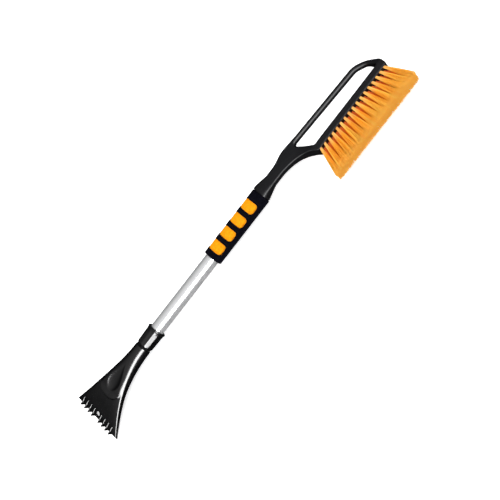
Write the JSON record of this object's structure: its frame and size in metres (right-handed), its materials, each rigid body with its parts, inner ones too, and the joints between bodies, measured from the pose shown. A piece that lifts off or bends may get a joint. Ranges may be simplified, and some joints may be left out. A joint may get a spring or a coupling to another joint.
{
  "type": "snow brush with ice scraper",
  "caption": "Hand snow brush with a loop-handled bristle head at one end of an aluminium shaft, a foam grip, and a detachable ice scraper held by a twist-lock collar at the other end.",
  "frame": {"origin": "bottom centre of the whole tool's box, as it lies flat on its side", "axes": "+X along the shaft from the scraper to the brush head, -Y the way the bristles point, +Z the side with the thumb rest"},
  "size_m": [0.6994, 0.1322, 0.0411],
  "materials": {
    "gloss_black": "glossy moulded",
    "satin_black": "fine satin moulded",
    "black_foam": "soft closed-cell foam",
    "orange_foam": "soft closed-cell foam",
    "orange_bristle": "fine filaments",
    "black_nylon": "moulded",
    "tube_aluminium": "satin anodised",
    "pin_steel": "plain"
  },
  "bodies": {
    "shaft": {"shaft_tube": "tube_aluminium", "grip_core": "orange_foam", "grip_cover": "black_foam", "collet": "black_nylon", "brush_frame": "satin_black", "frame_rivet": "pin_steel", "tuft_lower_01": "orange_bristle", "tuft_lower_02": "orange_bristle", "tuft_lower_03": "orange_bristle", "tuft_lower_04": "orange_bristle", "tuft_lower_05": "orange_bristle", "tuft_lower_06": "orange_bristle", "tuft_lower_07": "orange_bristle", "tuft_lower_08": "orange_bristle", "tuft_lower_09": "orange_bristle", "tuft_lower_10": "orange_bristle", "tuft_lower_11": "orange_bristle", "tuft_lower_12": "orange_bristle", "tuft_lower_13": "orange_bristle", "tuft_lower_14": "orange_bristle", "tuft_lower_15": "orange_bristle", "tuft_lower_16": "orange_bristle", "tuft_lower_17": "orange_bristle", "tuft_middle_01": "orange_bristle", "tuft_middle_02": "orange_bristle", "tuft_middle_03": "orange_bristle", "tuft_middle_04": "orange_bristle", "tuft_middle_05": "orange_bristle", "tuft_middle_06": "orange_bristle", "tuft_middle_07": "orange_bristle", "tuft_middle_08": "orange_bristle", "tuft_middle_09": "orange_bristle", "tuft_middle_10": "orange_bristle", "tuft_middle_11": "orange_bristle", "tuft_middle_12": "orange_bristle", "tuft_middle_13": "orange_bristle", "tuft_middle_14": "orange_bristle", "tuft_middle_15": "orange_bristle", "tuft_middle_16": "orange_bristle", "tuft_upper_01": "orange_bristle", "tuft_upper_02": "orange_bristle", "tuft_upper_03": "orange_bristle", "tuft_upper_04": "orange_bristle", "tuft_upper_05": "orange_bristle", "tuft_upper_06": "orange_bristle", "tuft_upper_07": "orange_bristle", "tuft_upper_08": "orange_bristle", "tuft_upper_09": "orange_bristle", "tuft_upper_10": "orange_bristle", "tuft_upper_11": "orange_bristle", "tuft_upper_12": "orange_bristle", "tuft_upper_13": "orange_bristle", "tuft_upper_14": "orange_bristle", "tuft_upper_15": "orange_bristle", "tuft_upper_16": "orange_bristle", "tuft_upper_17": "orange_bristle"},
    "collar": {"lock_collar": "gloss_black"},
    "scraper": {"scraper_head": "gloss_black", "scraper_spigot": "satin_black", "spigot_pin": "pin_steel"}
  },
  "joints": [
    {"name": "collar_turn", "type": "hinge", "parent": "shaft", "child": "collar", "pos_m": [-0.19213, 0.01741, 0.026], "axis": [1, 0, 0], "range_deg": [0, 90]},
    {"name": "scraper_slide", "type": "slide", "parent": "shaft", "child": "scraper", "axis": [-1, 0, 0], "range_m": [0, 0.08]}
  ]
}
